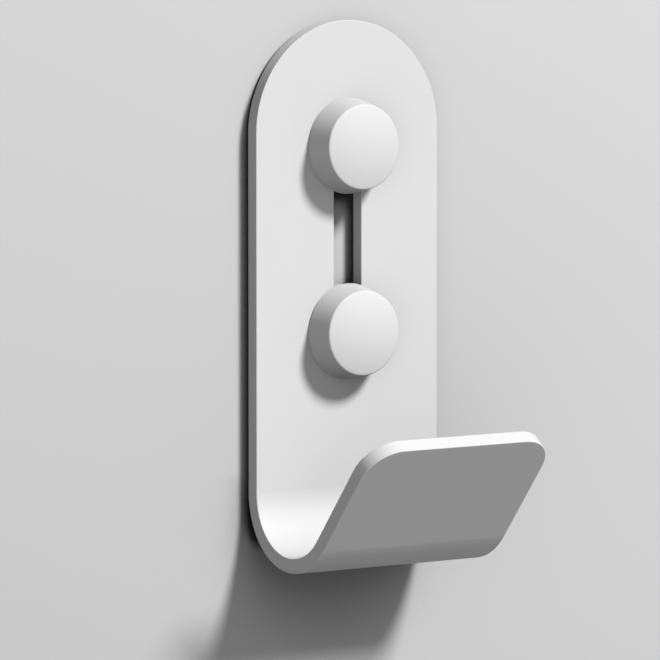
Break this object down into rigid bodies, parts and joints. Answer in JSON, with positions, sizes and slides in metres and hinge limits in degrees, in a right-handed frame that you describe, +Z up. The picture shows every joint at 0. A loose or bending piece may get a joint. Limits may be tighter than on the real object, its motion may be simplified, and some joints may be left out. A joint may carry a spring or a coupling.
{
  "type": "robe hook",
  "caption": "Wall hook folded from one sheet: round-headed back plate with an upright slot, a wide upturned lip below, held by tapered knobs on threaded studs.",
  "frame": {"origin": "where the axis of the upper stud meets the wall's surface", "axes": "+X to the right as the hook is seen, +Y into the wall along the studs, +Z up"},
  "size_m": [0.045, 0.0749, 0.1106],
  "materials": {
    "plate_coat": "white powder coat, fine and nearly matt",
    "knob_coat": "white powder coat, smooth satin",
    "washer_plastic": "natural white plastic, matt",
    "zinc_steel": "bright zinc plate"
  },
  "bodies": {
    "wall_studs": {"upper_stud": "zinc_steel", "lower_stud": "zinc_steel", "upper_spacer": "washer_plastic", "lower_spacer": "washer_plastic"},
    "hook": {"hook_plate": "plate_coat"},
    "upper_washer": {"upper_washer": "washer_plastic"},
    "upper_knob": {"upper_knob": "knob_coat"},
    "lower_washer": {"lower_washer": "washer_plastic"},
    "lower_knob": {"lower_knob": "knob_coat"}
  },
  "joints": [
    {"name": "hook_height", "type": "slide", "parent": "wall_studs", "child": "hook", "axis": [0, 0, 1], "range_m": [-0.003, 0.003]},
    {"name": "upper_knob_travel", "type": "slide", "parent": "wall_studs", "child": "upper_washer", "axis": [0, -1, 0], "range_m": [0, 0.003]},
    {"name": "upper_knob_turn", "type": "hinge", "parent": "upper_washer", "child": "upper_knob", "pos_m": [0, -0.0037, 0], "axis": [0, -1, 0], "range_deg": [0, 1080]},
    {"name": "lower_knob_travel", "type": "slide", "parent": "wall_studs", "child": "lower_washer", "axis": [0, -1, 0], "range_m": [0, 0.003]},
    {"name": "lower_knob_turn", "type": "hinge", "parent": "lower_washer", "child": "lower_knob", "pos_m": [0, -0.0037, -0.038], "axis": [0, -1, 0], "range_deg": [0, 1080]}
  ],
  "couplings": [
    {"joint": "upper_knob_travel", "follows": "upper_knob_turn", "m_per_rad": 0.00015915},
    {"joint": "lower_knob_travel", "follows": "lower_knob_turn", "m_per_rad": 0.00015915}
  ]
}
